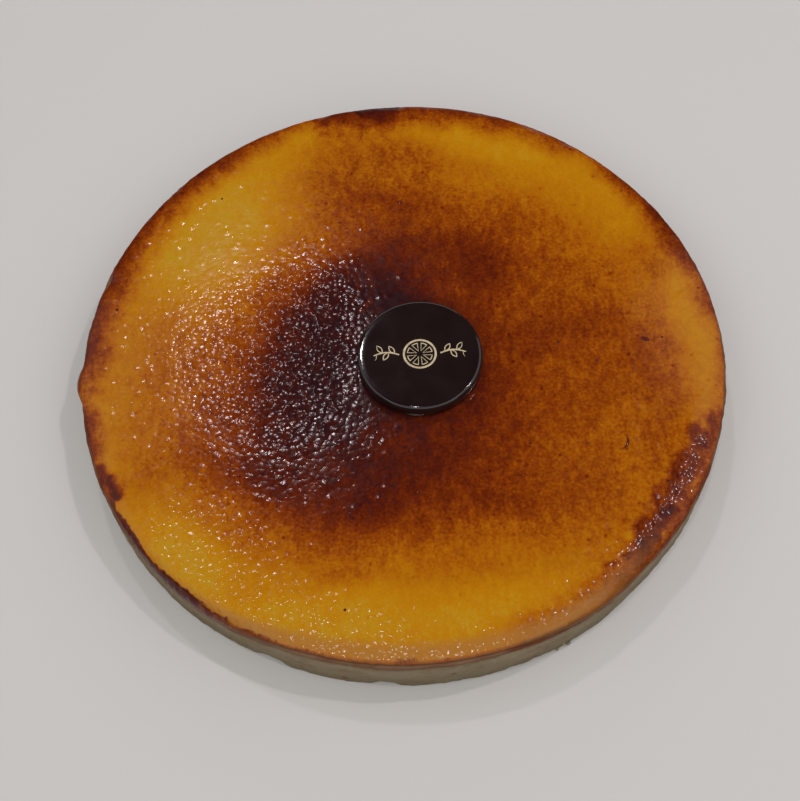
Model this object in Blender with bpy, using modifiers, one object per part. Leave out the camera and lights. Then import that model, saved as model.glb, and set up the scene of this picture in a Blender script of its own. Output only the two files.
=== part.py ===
"""An orange tart: a pale shortcrust case, a baked orange custard with a
caramelised top that laps over the rim, and a chocolate disc lying on it.

Metres, +Z up. The origin is the middle of the underside, and -Y is the front.
Bearings round the tart are in degrees, counter-clockwise from +X.
"""
import math

import bpy
from mathutils import Vector, noise

MM = 0.001

# The whole tart
CUSTARD_TOP = 20.5 * MM
PIECE_GAP = 0.3 * MM
TURN_STEPS = 120
HAIR = 0.1 * MM

# The pastry case
CASE_RADIUS = 110.0 * MM
CASE_WALL = 3.6 * MM
CASE_FLOOR = 3.0 * MM
CASE_RIM_HEIGHT = 18.9 * MM
CASE_RIM_BEVEL = 0.5 * MM
CASE_FOOT_BEVEL = 0.7 * MM
CASE_SIDE_RINGS = 7
CASE_GRAIN = 0.30 * MM
CASE_GRAIN_SIZE = 9.0 * MM
CHIP_REACH = 6.0 * MM

# The custard
LIP_RADIUS = CASE_RADIUS - 0.8 * MM
LIP_THICKNESS = 0.6 * MM
LIP_UNDERCUT = 0.3 * MM
FLAT_RADIUS = 100.0 * MM
FLAT_RINGS = 13
SHOULDER_RINGS = 6
SHOULDER_WIDTH = 8.0 * MM
SWELL_HEIGHT = 0.35 * MM
SWELL_SIZE = 38.0 * MM
CARAMEL_RIDGE_HEIGHT = 0.8 * MM
CARAMEL_RIDGE_BEARING = -36.0
CARAMEL_RIDGE_REACH = 30.0
CARAMEL_RIDGE_FROM_EDGE = 7.5 * MM
CARAMEL_RIDGE_WIDTH = 5.0 * MM

# The chocolate disc
DISC_RADIUS = 21.3 * MM
DISC_THICKNESS = 5.0 * MM
DISC_EDGE_ROUND = 1.3 * MM
DISC_EDGE_STEPS = 4
DISC_FOOT_ROUND = 0.4 * MM
DISC_CENTRE = Vector((6.0 * MM, -3.3 * MM, CUSTARD_TOP + PIECE_GAP))
DISC_CLEARING = 12.0 * MM
DISC_STEPS = 64

# Where the round edge is uneven: bearing, half width in degrees, and how far
CASE_FLATS = [(-46.0, 15.0, -0.7 * MM)]
LIP_CHANGES = [
    (-131.0, 26.0, 1.0 * MM),
    (-52.0, 30.0, 1.2 * MM),
    (161.0, 3.5, -1.0 * MM),
    (-177.5, 6.5, 2.8 * MM),
]
RIM_CHANGES = [
    (-131.0, 26.0, -4.6 * MM),
    (-52.0, 28.0, -2.6 * MM),
    (-93.0, 22.0, -0.6 * MM),
    (105.0, 80.0, 0.6 * MM),
    (-177.5, 7.0, -1.2 * MM),
]
SHOULDER_CHANGES = [
    (135.0, 75.0, -2.8 * MM),
    (-138.0, 36.0, -3.5 * MM),
    (-36.0, 36.0, 3.0 * MM),
    (-92.0, 36.0, 2.0 * MM),
]
FOOT_CHIPS = [
    (-115.0, 4.5, -1.1 * MM),
    (-95.0, 4.0, -0.9 * MM),
    (-28.0, 5.0, -0.8 * MM),
    (70.0, 4.5, -1.0 * MM),
    (158.0, 5.0, -0.9 * MM),
]

# Finishes: sRGB colour, roughness, metallic
PASTRY = ((0.72, 0.63, 0.49), 0.85, 0.0)
CARAMELISED_CUSTARD = ((0.76, 0.42, 0.10), 0.28, 0.0)
DARK_CHOCOLATE = ((0.14, 0.085, 0.065), 0.33, 0.0)


def clear_scene():
    """Remove every object of the start-up scene."""
    for item in list(bpy.data.objects):
        bpy.data.objects.remove(item, do_unlink=True)


def linear(channel):
    """One sRGB channel as the linear value that a shader takes."""
    if channel <= 0.04045:
        return channel / 12.92
    return ((channel + 0.055) / 1.055) ** 2.4


def make_material(name, finish):
    """A plain Principled material of one finish."""
    colour, roughness, metallic = finish
    material = bpy.data.materials.new(name)
    material.use_nodes = True
    shader = material.node_tree.nodes["Principled BSDF"]
    shader.inputs["Base Color"].default_value = [linear(c) for c in colour] + [1.0]
    shader.inputs["Roughness"].default_value = roughness
    shader.inputs["Metallic"].default_value = metallic
    return material


def hump(bearing, centre, half_width):
    """1 at the centre bearing, falling smoothly to 0 at the half width."""
    away = abs((bearing - centre + 180.0) % 360.0 - 180.0) / half_width
    if away >= 1.0:
        return 0.0
    return 0.5 + 0.5 * math.cos(math.pi * away)


def sum_of_humps(bearing, humps):
    """The total of several local changes round the edge."""
    total = 0.0
    for centre, half_width, amount in humps:
        total += amount * hump(bearing, centre, half_width)
    return total


def hand_made_wobble(bearing):
    """How far a hand-lined ring is out of round."""
    angle = math.radians(bearing)
    return (0.20 * math.sin(2.0 * angle + 0.6) + 0.15 * math.sin(5.0 * angle + 1.9)) * MM


def case_radius(bearing):
    """The outer radius of the pastry wall."""
    return CASE_RADIUS + hand_made_wobble(bearing) + sum_of_humps(bearing, CASE_FLATS)


def rim_height(bearing):
    """The height of the pastry wall's top."""
    angle = math.radians(bearing)
    unevenness = 0.20 * math.sin(3.0 * angle + 0.4) + 0.12 * math.sin(7.0 * angle)
    return CASE_RIM_HEIGHT + unevenness * MM + sum_of_humps(bearing, RIM_CHANGES)


def lip_radius(bearing):
    """How far out the custard reaches over the pastry rim."""
    out_of_round = case_radius(bearing) - CASE_RADIUS
    return LIP_RADIUS + out_of_round + sum_of_humps(bearing, LIP_CHANGES)


def lip_height(bearing):
    """The height of the custard's outermost edge."""
    return rim_height(bearing) + PIECE_GAP + LIP_THICKNESS


def shoulder_width(bearing):
    """The width of the rounded edge of the custard."""
    return SHOULDER_WIDTH + sum_of_humps(bearing, SHOULDER_CHANGES)


def smooth_step(value):
    """0 below 0, 1 above 1, and smooth in between."""
    share = min(max(value, 0.0), 1.0)
    return share * share * (3.0 - 2.0 * share)


def caramel_ridge(radius, bearing):
    """The blistered caramel bank along the right front edge."""
    along = hump(bearing, CARAMEL_RIDGE_BEARING, CARAMEL_RIDGE_REACH)
    middle = lip_radius(bearing) - CARAMEL_RIDGE_FROM_EDGE
    across = (radius - middle) / CARAMEL_RIDGE_WIDTH
    return CARAMEL_RIDGE_HEIGHT * along * math.exp(-across * across)


def swell(radius, bearing):
    """Gentle unevenness of the baked top, none under the disc."""
    angle = math.radians(bearing)
    place = Vector((radius * math.cos(angle), radius * math.sin(angle), 0.0))
    disc_place = Vector((DISC_CENTRE.x, DISC_CENTRE.y, 0.0))
    from_disc = (place - disc_place).length - DISC_RADIUS
    return SWELL_HEIGHT * noise.noise(place / SWELL_SIZE) * smooth_step(from_disc / DISC_CLEARING)


def custard_height(radius, bearing):
    """The height of the custard's top at a place."""
    width = shoulder_width(bearing)
    inside = lip_radius(bearing) - width
    share = min(max((radius - inside) / width, 0.0), 1.0)
    drop = (CUSTARD_TOP - lip_height(bearing)) * (1.0 - math.sqrt(1.0 - share * share))
    rise = swell(radius, bearing) + caramel_ridge(radius, bearing)
    return CUSTARD_TOP - drop + rise * (1.0 - share * share)


def turned_mesh(name, profile, steps):
    """Turn a profile of (radius, height) pairs, listed from the top down its outer side."""
    outline = bpy.data.meshes.new(name + "_profile")
    points = [(radius, 0.0, height) for radius, height in profile]
    edges = [(i, i + 1) for i in range(len(points) - 1)]
    outline.from_pydata(points, edges, [])
    guide = bpy.data.objects.new(name + "_profile", outline)
    bpy.context.scene.collection.objects.link(guide)
    screw = guide.modifiers.new("Turn", "SCREW")
    screw.axis = "Z"
    screw.angle = 2.0 * math.pi
    screw.steps = steps
    screw.render_steps = steps
    screw.use_merge_vertices = True
    screw.merge_threshold = 0.00001
    graph = bpy.context.evaluated_depsgraph_get()
    mesh = bpy.data.meshes.new_from_object(guide.evaluated_get(graph))
    mesh.name = name
    bpy.data.objects.remove(guide, do_unlink=True)
    bpy.data.meshes.remove(outline)
    return mesh


def shape_points(mesh, rule):
    """Move each point of a turned mesh to where the rule puts its radius and height."""
    for vertex in mesh.vertices:
        radius = math.hypot(vertex.co.x, vertex.co.y)
        angle = math.atan2(vertex.co.y, vertex.co.x)
        new_radius, new_height = rule(radius, vertex.co.z, math.degrees(angle))
        vertex.co = (new_radius * math.cos(angle), new_radius * math.sin(angle), new_height)


def add_piece(mesh, material, collection, sharp_angle):
    """Put a finished mesh into the tart's collection as one named piece."""
    mesh.materials.append(material)
    mesh.shade_smooth()
    mesh.set_sharp_from_angle(angle=math.radians(sharp_angle))
    piece = bpy.data.objects.new(mesh.name, mesh)
    collection.objects.link(piece)
    return piece


def case_profile():
    """Floor, inner wall, rim, outer side and underside of the pastry case."""
    inner = CASE_RADIUS - CASE_WALL
    rim = CASE_RIM_HEIGHT
    profile = [(0.0, CASE_FLOOR), (inner, CASE_FLOOR), (inner, rim - CASE_RIM_BEVEL)]
    profile += [(inner + CASE_RIM_BEVEL, rim), (CASE_RADIUS - CASE_RIM_BEVEL, rim)]
    side_top = rim - CASE_RIM_BEVEL
    for ring in range(CASE_SIDE_RINGS + 1):
        share = ring / CASE_SIDE_RINGS
        profile.append((CASE_RADIUS, side_top + share * (CASE_FOOT_BEVEL - side_top)))
    profile += [(CASE_RADIUS - CASE_FOOT_BEVEL, 0.0), (0.0, 0.0)]
    return profile


def shape_case(radius, height, bearing):
    """The uneven wall and rim; the underside stays flat."""
    share_out = radius / CASE_RADIUS
    new_radius = radius + (case_radius(bearing) - CASE_RADIUS) * share_out
    share_up = smooth_step((height - CASE_FLOOR) / (CASE_RIM_HEIGHT - CASE_FLOOR))
    new_height = height + (rim_height(bearing) - CASE_RIM_HEIGHT) * share_up
    if radius > CASE_RADIUS - CASE_FOOT_BEVEL - HAIR and height < CASE_RIM_HEIGHT - HAIR:
        angle = math.radians(bearing)
        place = Vector((math.cos(angle) * radius, math.sin(angle) * radius, height * 2.0))
        new_radius += CASE_GRAIN * noise.noise(place / CASE_GRAIN_SIZE)
        low = 1.0 - smooth_step(height / CHIP_REACH)
        new_radius += sum_of_humps(bearing, FOOT_CHIPS) * low
    return new_radius, new_height


def make_case(collection):
    """The pale pastry case."""
    mesh = turned_mesh("pastry_case", case_profile(), TURN_STEPS)
    shape_points(mesh, shape_case)
    return add_piece(mesh, make_material("pastry", PASTRY), collection, 50.0)


def custard_profile():
    """Flat top, shoulder, overhanging lip, plug wall and underside of the custard."""
    profile = [(FLAT_RADIUS * ring / FLAT_RINGS, CUSTARD_TOP) for ring in range(FLAT_RINGS + 1)]
    for ring in range(1, SHOULDER_RINGS + 1):
        turn = 0.5 * math.pi * ring / SHOULDER_RINGS
        profile.append((FLAT_RADIUS + (LIP_RADIUS - FLAT_RADIUS) * math.sin(turn), CUSTARD_TOP))
    under_lip = CASE_RIM_HEIGHT + PIECE_GAP
    plug = CASE_RADIUS - CASE_WALL - PIECE_GAP
    profile += [(LIP_RADIUS - LIP_UNDERCUT, under_lip), (plug, under_lip)]
    profile += [(plug, CASE_FLOOR + PIECE_GAP), (0.0, CASE_FLOOR + PIECE_GAP)]
    return profile


def shape_custard(radius, height, bearing):
    """The caramelised top and lip; the plug follows the inside of the case."""
    edge = lip_radius(bearing)
    if height > CUSTARD_TOP - HAIR:
        inside = edge - shoulder_width(bearing)
        if radius > FLAT_RADIUS:
            share = (radius - FLAT_RADIUS) / (LIP_RADIUS - FLAT_RADIUS)
            new_radius = inside + (edge - inside) * share
        else:
            new_radius = inside * radius / FLAT_RADIUS
        return new_radius, custard_height(new_radius, bearing)
    under_lip = CASE_RIM_HEIGHT + PIECE_GAP
    if height > under_lip - HAIR:
        new_height = rim_height(bearing) + PIECE_GAP
        if radius > CASE_RADIUS - CASE_WALL:
            return edge - (LIP_RADIUS - radius), new_height
        return radius + (case_radius(bearing) - CASE_RADIUS), new_height
    share_out = radius / CASE_RADIUS
    return radius + (case_radius(bearing) - CASE_RADIUS) * share_out, height


def make_custard(collection):
    """The orange custard with its caramelised top."""
    mesh = turned_mesh("custard", custard_profile(), TURN_STEPS)
    shape_points(mesh, shape_custard)
    material = make_material("caramelised_custard", CARAMELISED_CUSTARD)
    return add_piece(mesh, material, collection, 50.0)


def disc_profile():
    """Top, rounded edge, side and foot of the chocolate disc."""
    profile = [(0.0, DISC_THICKNESS)]
    for corner in range(DISC_EDGE_STEPS + 1):
        turn = 0.5 * math.pi * corner / DISC_EDGE_STEPS
        across = DISC_RADIUS - DISC_EDGE_ROUND * (1.0 - math.sin(turn))
        profile.append((across, DISC_THICKNESS - DISC_EDGE_ROUND * (1.0 - math.cos(turn))))
    profile += [(DISC_RADIUS, DISC_FOOT_ROUND), (DISC_RADIUS - DISC_FOOT_ROUND, 0.0), (0.0, 0.0)]
    return profile


def make_disc(collection):
    """The chocolate disc, lying a little right of the middle."""
    mesh = turned_mesh("chocolate_disc", disc_profile(), DISC_STEPS)
    disc = add_piece(mesh, make_material("dark_chocolate", DARK_CHOCOLATE), collection, 40.0)
    disc.location = DISC_CENTRE
    return disc


def build():
    """Build the whole tart."""
    clear_scene()
    collection = bpy.data.collections.new("orange_tart")
    bpy.context.scene.collection.children.link(collection)
    make_case(collection)
    make_custard(collection)
    make_disc(collection)


build()
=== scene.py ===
# %% [markdown]
# # A caramelised orange tart
#
# This lesson dresses the solid model of a round orange tart: a pale shortcrust case, a baked
# orange custard whose top was browned until it blistered, and one small disc of dark chocolate.
# The solids fix every size and place. Here each gets the surface that the eye sees: crumb on the
# pastry, blistered caramel on the custard, and a satin edge on the chocolate.

# %% Load the solid model
from math import asin, atan2, cos, degrees, exp, hypot, pi, radians, sin, sqrt

import bpy
from mathutils import Matrix, Vector
from mathutils.noise import cell, noise, voronoi


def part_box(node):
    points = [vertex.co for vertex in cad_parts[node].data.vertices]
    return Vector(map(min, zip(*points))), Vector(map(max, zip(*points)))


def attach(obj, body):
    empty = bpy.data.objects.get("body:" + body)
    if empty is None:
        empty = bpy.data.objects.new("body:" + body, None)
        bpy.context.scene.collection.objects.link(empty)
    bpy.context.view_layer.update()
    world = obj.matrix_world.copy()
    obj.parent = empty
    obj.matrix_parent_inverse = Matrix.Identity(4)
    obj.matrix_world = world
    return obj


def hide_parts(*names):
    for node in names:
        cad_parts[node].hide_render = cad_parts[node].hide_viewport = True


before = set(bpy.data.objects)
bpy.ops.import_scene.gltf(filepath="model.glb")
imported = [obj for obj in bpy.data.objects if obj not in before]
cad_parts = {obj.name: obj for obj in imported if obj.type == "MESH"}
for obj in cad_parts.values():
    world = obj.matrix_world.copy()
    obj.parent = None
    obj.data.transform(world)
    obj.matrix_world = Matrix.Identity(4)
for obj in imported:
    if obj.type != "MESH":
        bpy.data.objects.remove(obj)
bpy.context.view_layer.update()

print("solid pieces:", sorted(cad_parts))

# %% [markdown]
# ## Sizes
#
# A tart like this is baked in a plain ring, so nearly everything follows from a few sizes: the
# ring's radius, its height, and how thick the pastry was rolled. They are written in metres
# through `MM`, so a number reads as the millimetres a baker would use.

# %% Sizes of the tart
MM = 0.001
CASE_RADIUS = 110.0 * MM
CASE_WALL = 3.6 * MM
CASE_FLOOR = 3.0 * MM
CASE_RIM_HEIGHT = 18.9 * MM
CUSTARD_TOP = 20.5 * MM
PIECE_GAP = 0.3 * MM
LIP_RADIUS = CASE_RADIUS - 0.8 * MM
LIP_THICKNESS = 0.6 * MM
LIP_UNDERCUT = 0.3 * MM
SHOULDER_WIDTH = 8.0 * MM

case_low, case_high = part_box("pastry_case")
disc_low, disc_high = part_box("chocolate_disc")
DISC_RADIUS = 0.5 * (disc_high.x - disc_low.x)
DISC_MIDDLE = Vector((0.5 * (disc_low.x + disc_high.x), 0.5 * (disc_low.y + disc_high.y), 0.0))
print("pastry case:", [round(side / MM, 1) for side in case_high - case_low], "mm")
print("chocolate disc:", round(DISC_RADIUS * 2000.0, 1), "mm across, middle at",
      [round(value / MM, 1) for value in DISC_MIDDLE])

# %% [markdown]
# ## The uneven edge
#
# Nothing baked is perfectly round. The pastry was pressed in by hand and the custard boiled over
# in places, so the edge changes as you go round. Smooth humps describe all of that, each centred
# on a bearing in degrees, counter-clockwise from the right-hand side, so -90 is the front. Each
# list says where something changes, how wide, and by how much.

# %% Humps round the edge
CASE_FLATS = [(-46.0, 15.0, -0.7 * MM)]
LIP_CHANGES = [
    (-131, 26, 1 * MM), (-52, 30, 1.2 * MM), (161, 3.5, -1 * MM), (-177.5, 6.5, 2.8 * MM),
]
RIM_CHANGES = [
    (-131, 26, -4.6 * MM), (-52, 28, -2.6 * MM), (-93, 22, -0.6 * MM), (105, 80, 0.6 * MM),
    (-177.5, 7, -1.2 * MM),
]
SHOULDER_CHANGES = [
    (135, 75, -2.8 * MM), (-138, 36, -3.5 * MM), (-36, 36, 3 * MM), (-92, 36, 2 * MM),
]
FOOT_CHIPS = [
    (-115, 4.5, -1.1 * MM), (-95, 4, -0.9 * MM), (-28, 5, -0.8 * MM), (70, 4.5, -1 * MM),
    (158, 5, -0.9 * MM),
]


def hump(bearing, centre, half_width):
    """1 at the centre bearing, falling smoothly to 0 at the half width."""
    away = abs((bearing - centre + 180.0) % 360.0 - 180.0) / half_width
    if away >= 1.0:
        return 0.0
    return 0.5 + 0.5 * cos(pi * away)


def sum_of_humps(bearing, humps):
    """The total of several local changes round the edge."""
    total = 0.0
    for centre, half_width, amount in humps:
        total += amount * hump(bearing, centre, half_width)
    return total


def smooth_step(value):
    """0 below 0, 1 above 1, and smooth in between."""
    share = min(max(value, 0.0), 1.0)
    return share * share * (3.0 - 2.0 * share)


def around(radius, bearing, height):
    """The point at a radius, bearing and height."""
    angle = radians(bearing)
    return Vector((radius * cos(angle), radius * sin(angle), height))


def bearing_of(place):
    """The bearing at which a point lies."""
    return degrees(atan2(place.y, place.x))


def bearings_round(count):
    """Even bearings all the way round, starting at the left."""
    return [360.0 * i / count - 180.0 for i in range(count)]


def case_radius(bearing):
    """The outer radius of the pastry wall."""
    angle = radians(bearing)
    wobble = 0.20 * sin(2.0 * angle + 0.6) + 0.15 * sin(5.0 * angle + 1.9)
    return CASE_RADIUS + wobble * MM + sum_of_humps(bearing, CASE_FLATS)


def rim_height(bearing):
    """The height of the pastry wall's top."""
    angle = radians(bearing)
    unevenness = 0.20 * sin(3.0 * angle + 0.4) + 0.12 * sin(7.0 * angle)
    return CASE_RIM_HEIGHT + unevenness * MM + sum_of_humps(bearing, RIM_CHANGES)


def lip_radius(bearing):
    """How far out the custard reaches over the pastry rim."""
    out_of_round = case_radius(bearing) - CASE_RADIUS
    return LIP_RADIUS + out_of_round + sum_of_humps(bearing, LIP_CHANGES)


def shoulder_width(bearing):
    """The width of the rounded edge of the custard."""
    return SHOULDER_WIDTH + sum_of_humps(bearing, SHOULDER_CHANGES)


print("rim height at the front:", round(rim_height(-90.0) / MM, 2), "mm")

# %% [markdown]
# ## The camera
#
# The tart is seen from the front and above, close enough that the far side looks smaller. A real
# camera held by hand is never quite level, so the view leans by three degrees. Blender's camera
# looks along its own -Z, so its turn is built from three directions: right, up and backwards.

# %% Camera
CAMERA_PLACE = Vector((0.0, -232.14, 420.13)) * MM
CAMERA_AIM = Vector((-1.496, -7.091, 0.0)) * MM
CAMERA_LEAN = radians(3.046)
CAMERA_LENS = 60.56
CAMERA_SENSOR = 36.0


def put_in_scene(name, data):
    """A new object for the data, linked into the scene."""
    item = bpy.data.objects.new(name, data)
    bpy.context.scene.collection.objects.link(item)
    return item


def make_camera():
    """The camera, leaning a little to one side."""
    forward = (CAMERA_AIM - CAMERA_PLACE).normalized()
    level_right = forward.cross(Vector((0.0, 0.0, 1.0))).normalized()
    level_up = level_right.cross(forward)
    right = level_right * cos(CAMERA_LEAN) - level_up * sin(CAMERA_LEAN)
    up = level_right * sin(CAMERA_LEAN) + level_up * cos(CAMERA_LEAN)
    turn = Matrix((right, up, -forward)).transposed()
    data = bpy.data.cameras.new("camera")
    data.lens = CAMERA_LENS
    data.sensor_width = CAMERA_SENSOR
    data.clip_start = 0.01
    camera = put_in_scene("camera", data)
    camera.matrix_world = Matrix.Translation(CAMERA_PLACE) @ turn.to_4x4()
    bpy.context.scene.camera = camera
    print("camera looks down by", round(degrees(asin(-forward.z)), 1), "degrees")


make_camera()

# %% [markdown]
# ## Light and floor
#
# Caramel is dark and shiny, so the lights matter as much as the paint. Wide soft lights stand low
# all round: they give the colours, and only steep edges mirror them, so the flat top keeps its own
# colour without a veil. Three small bright lights add little colour but catch the relief: one is
# mirrored by the blistered part, one by the bank at the right front, and one overhead draws a row
# of glints along the front edge. The room stays dim, so the dark caramel keeps its depth. The
# Standard view transform shows a paint's colour as it was mixed.

# %% Studio
TART_MIDDLE = Vector((0.0, 0.0, CUSTARD_TOP))
SPARKLE_PLACE = Vector((-46.0, 4.0, 20.0)) * MM
BANK_PLACE = Vector((145.0, -115.0, 20.0)) * MM
SOFT_LIGHTS = [
    # name, bearing and height in degrees, distance, width and height in metres, brightness
    ("front_light", -86.0, 47.0, 1.3, 2.4, 1.3, 1.06),
    ("left_light", 172.0, 44.0, 1.1, 1.3, 1.0, 0.86),
    ("right_light", 12.0, 44.0, 1.1, 1.3, 1.0, 0.92),
    ("back_light", 95.0, 20.0, 1.2, 1.2, 0.4, 1.3),
]
SMALL_LIGHTS = [
    # name, aimed at, direction, distance, width and depth in metres, brightness, colour
    ("sparkle_light", SPARKLE_PLACE, Vector((-0.099, 0.506, 0.857)), 1.33, 0.07, 0.045, 170.0,
     (1.0, 0.92, 0.95)),
    ("bank_light", BANK_PLACE, Vector((0.328, 0.265, 0.905)), 1.33, 0.05, 0.05, 330.0,
     (1.0, 0.92, 0.95)),
    ("overhead_light", TART_MIDDLE, Vector((-0.05, -0.09, 1.0)), 1.3, 0.06, 0.06, 160.0,
     (1.0, 0.95, 0.98)),
]
SOFT_COLOUR = (1.0, 0.98, 0.96)
ROOM_COLOUR = (0.80, 0.86, 1.0, 1.0)
ROOM_BRIGHTNESS = 0.04
FLOOR_WIDTH = 6.0
FLOOR_COLOUR = (0.60, 0.59, 0.57, 1.0)


def add_light(name, target, direction, distance, width, height, brightness, colour):
    """An oblong area light whose face has the given brightness, aimed at its target."""
    data = bpy.data.lights.new(name, "AREA")
    data.shape = "RECTANGLE"
    data.size = width
    data.size_y = height
    data.energy = brightness * pi * width * height
    data.color = colour
    lamp = put_in_scene(name, data)
    lamp.location = target + direction.normalized() * distance
    lamp.rotation_euler = direction.to_track_quat("Z", "Y").to_euler()


def make_floor():
    """A wide pale table top, level with the tart's underside."""
    mesh = bpy.data.meshes.new("floor")
    half = 0.5 * FLOOR_WIDTH
    corners = [(-half, -half, 0.0), (half, -half, 0.0), (half, half, 0.0), (-half, half, 0.0)]
    mesh.from_pydata(corners, [], [(0, 1, 2, 3)])
    floor = put_in_scene("floor", mesh)
    material = bpy.data.materials.new("pale_table")
    material.use_nodes = True
    shader = material.node_tree.nodes["Principled BSDF"]
    shader.inputs["Base Color"].default_value = FLOOR_COLOUR
    shader.inputs["Roughness"].default_value = 0.8
    mesh.materials.append(material)


def make_studio():
    """Room light, the low soft lights and the small bright ones."""
    world = bpy.data.worlds.new("room")
    world.use_nodes = True
    background = world.node_tree.nodes["Background"]
    background.inputs["Color"].default_value = ROOM_COLOUR
    background.inputs["Strength"].default_value = ROOM_BRIGHTNESS
    bpy.context.scene.world = world
    bpy.context.scene.view_settings.view_transform = "Standard"
    for name, bearing, lift, distance, width, height, brightness in SOFT_LIGHTS:
        direction = around(cos(radians(lift)), bearing, sin(radians(lift)))
        add_light(name, TART_MIDDLE, direction, distance, width, height, brightness, SOFT_COLOUR)
    for light in SMALL_LIGHTS:
        add_light(*light)


make_floor()
make_studio()

# %% [markdown]
# ## From rings to a skin
#
# The tart's pieces are all turned shapes, so each is described as a stack of rings of points. The
# open top of the custard needs even, fine triangles everywhere: there each ring has six points
# more than the ring inside it, like a honeycomb. Down the sides, every ring has the same number.
# `join_rings` joins both kinds and closes each end with a fan, so the mesh has no hole.

# %% Skin a stack of rings


def skin_between(faces, first, count, after, next_count):
    """Faces between two neighbouring rings, whose points start at first and after."""
    if count == next_count:
        for i in range(count):
            j = (i + 1) % count
            faces.append((first + i, after + i, after + j, first + j))
        return
    side = count // 6
    for sector in range(6):
        for place in range(sector * side, sector * side + side + 1):
            inner = first + place % count
            beyond = after + (place + sector + 1) % next_count
            faces.append((inner, after + place + sector, beyond))
            if place < sector * side + side:
                faces.append((inner, beyond, first + (place + 1) % count))


def join_rings(points, faces, rings):
    """Add a closed skin over rings listed from the top's middle, outwards and down to the foot."""
    first = len(points)
    for ring, following in zip(rings, rings[1:]):
        count = len(ring)
        next_count = len(following)
        after = first + count
        if next_count == 1:
            faces += [(first + j, after, first + (j + 1) % count) for j in range(count)]
        elif count == 1:
            faces += [(first, after + j, after + (j + 1) % next_count) for j in range(next_count)]
        else:
            skin_between(faces, first, count, after, next_count)
        first = after
    for ring in rings:
        points.extend(ring)


def skin_stacks(name, stacks):
    """A smooth shaded mesh with one closed skin over each stack of rings."""
    points = []
    faces = []
    for rings in stacks:
        join_rings(points, faces, rings)
    mesh = bpy.data.meshes.new(name)
    mesh.from_pydata(points, [], faces)
    mesh.validate()
    mesh.shade_smooth()
    return mesh


def place_piece(mesh, node, material):
    """Put a finished mesh into the scene, in place of a solid where one is named."""
    mesh.materials.append(material)
    piece = put_in_scene(mesh.name, mesh)
    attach(piece, "root")
    if node is not None:
        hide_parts(node)
    mesh.calc_loop_triangles()
    print(piece.name, "has", len(mesh.loop_triangles), "triangles")


# %% [markdown]
# ## Mixing finishes
#
# Every finish below is a small network of shader nodes round one Principled shader. These helpers
# keep the networks short: a noise whose grain is given in millimetres, a piece of arithmetic, and
# a paint that divides out the studio's brightness, so that a colour is written the way it should
# look on the finished tart.

# %% Finish helpers
STUDIO_WHITE = 0.90


def linear(channel):
    """One screen colour channel, 0 to 255, as the linear value a shader takes."""
    share = channel / 255.0
    if share <= 0.04045:
        return share / 12.92
    return ((share + 0.055) / 1.055) ** 2.4


def paint(red, green, blue):
    """The shader colour that looks like this screen colour under the studio's light."""
    return [linear(red) / STUDIO_WHITE, linear(green) / STUDIO_WHITE,
            linear(blue) / STUDIO_WHITE, 1.0]


def new_finish(name, roughness, specular):
    """A new material, with its node tree and its Principled shader."""
    material = bpy.data.materials.new(name)
    material.use_nodes = True
    tree = material.node_tree
    shader = tree.nodes["Principled BSDF"]
    shader.inputs["Roughness"].default_value = roughness
    shader.inputs["Specular IOR Level"].default_value = specular
    return material, tree, shader


def feed(tree, socket, value):
    """Give an input a fixed value, or link it to another node's output."""
    if isinstance(value, bpy.types.NodeSocket):
        tree.links.new(value, socket)
    else:
        socket.default_value = value


def wire(tree, node, **inputs):
    """Feed the named inputs of a node."""
    for name, value in inputs.items():
        feed(tree, node.inputs[name.replace("_", " ")], value)
    return node


def add_node(tree, kind, **inputs):
    """A new node with the named inputs fed."""
    return wire(tree, tree.nodes.new("ShaderNode" + kind), **inputs)


def grain(tree, size, detail=2.0, stretch=(1.0, 1.0, 1.0)):
    """Noise from 0 to 1 whose spots are about the given size across."""
    places = add_node(tree, "TexCoord").outputs["Object"]
    scaled = add_node(tree, "Mapping", Scale=stretch, Vector=places).outputs["Vector"]
    texture = add_node(tree, "TexNoise", Scale=1.0 / size, Detail=detail, Vector=scaled)
    return texture.outputs["Fac"]


def pits(tree, size):
    """Many scattered points, about the given size apart, and the distance to the nearest."""
    places = add_node(tree, "TexCoord").outputs["Object"]
    return add_node(tree, "TexVoronoi", Scale=1.0 / size, Vector=places)


def sum_up(tree, operation, first, second):
    """One Math node; each input is a socket or a number."""
    node = add_node(tree, "Math")
    node.operation = operation
    feed(tree, node.inputs[0], first)
    feed(tree, node.inputs[1], second)
    return node.outputs["Value"]


def spread(tree, value, low, high, to_low=0.0, to_high=1.0):
    """The value, with low..high stretched over to_low..to_high and cut off at both ends."""
    node = add_node(tree, "MapRange", Value=value, From_Min=low, From_Max=high,
                    To_Min=to_low, To_Max=to_high)
    return node.outputs["Result"]


def mottle(tree, layers, low, high):
    """Several layers of noise added up, each going from low to high times its share."""
    total = 0.0
    for size, detail, stretch, share in layers:
        layer = spread(tree, grain(tree, size * MM, detail, stretch), 0.25, 0.75, low, high)
        total = sum_up(tree, "ADD", total, sum_up(tree, "MULTIPLY", layer, share))
    return total


def stored(tree, name):
    """A number that the mesh carries at each of its points."""
    node = add_node(tree, "Attribute")
    node.attribute_name = name
    return node.outputs["Fac"]


def colour_scale(tree, value, stops):
    """A colour for each value, blended between the named stops."""
    node = add_node(tree, "ValToRGB", Fac=value)
    ramp = node.color_ramp
    for element, (position, colour) in zip(ramp.elements, (stops[0], stops[-1])):
        element.position = position
        element.color = colour
    for position, colour in stops[1:-1]:
        ramp.elements.new(position).color = colour
    return node.outputs["Color"]


def two_tones(tree, size, dark, light):
    """Two close colours mixed by noise of the given grain."""
    tone = spread(tree, grain(tree, size), 0.3, 0.7)
    return colour_scale(tree, tone, [(0.0, dark), (1.0, light)])


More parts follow.
